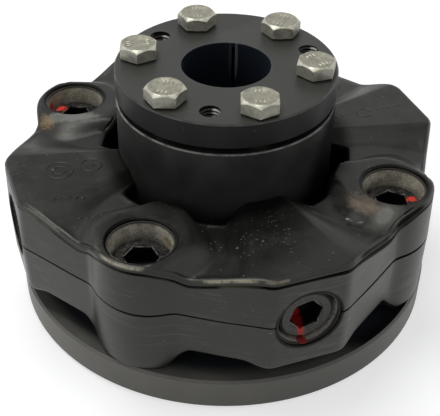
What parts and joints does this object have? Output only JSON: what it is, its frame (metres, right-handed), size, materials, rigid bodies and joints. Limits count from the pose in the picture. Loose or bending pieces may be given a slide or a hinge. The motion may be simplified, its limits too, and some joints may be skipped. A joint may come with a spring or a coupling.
{
  "type": "flexible shaft coupling",
  "caption": "Round flexible shaft coupling: a base flange and a taper-clamp hub joined by a moulded rubber ring that is screwed to each of them by turns.",
  "frame": {"origin": "centre of the base flange's underside", "axes": "+Z along the shaft, from the flange to the clamp disc; +X through a radial screw"},
  "size_m": [0.1526, 0.1526, 0.0905],
  "materials": {
    "flange_steel": "dark phosphate, matte",
    "ring_rubber": "moulded, semi-matte, with smudges and dust",
    "hub_steel": "black oxide, matte",
    "disc_steel": "black oxide, matte",
    "insert_metal": "as cast, rough",
    "screw_steel": "black oxide, worn",
    "bolt_steel": "zinc plated, dull"
  },
  "bodies": {
    "root": {"base_flange": "flange_steel", "rubber_ring": "ring_rubber", "hub": "hub_steel", "clamp_cone": "disc_steel", "axial_insert_1": "insert_metal", "axial_insert_2": "insert_metal", "axial_insert_3": "insert_metal", "axial_insert_4": "insert_metal", "radial_insert_1": "insert_metal", "radial_insert_2": "insert_metal", "radial_insert_3": "insert_metal", "radial_insert_4": "insert_metal", "axial_screw_1": "screw_steel", "axial_screw_2": "screw_steel", "axial_screw_3": "screw_steel", "axial_screw_4": "screw_steel", "radial_screw_1": "screw_steel", "radial_screw_2": "screw_steel", "radial_screw_3": "screw_steel", "radial_screw_4": "screw_steel", "clamp_bolt_1": "bolt_steel", "clamp_bolt_2": "bolt_steel", "clamp_bolt_3": "bolt_steel", "clamp_bolt_4": "bolt_steel", "clamp_bolt_5": "bolt_steel", "clamp_bolt_6": "bolt_steel"}
  },
  "joints": []
}
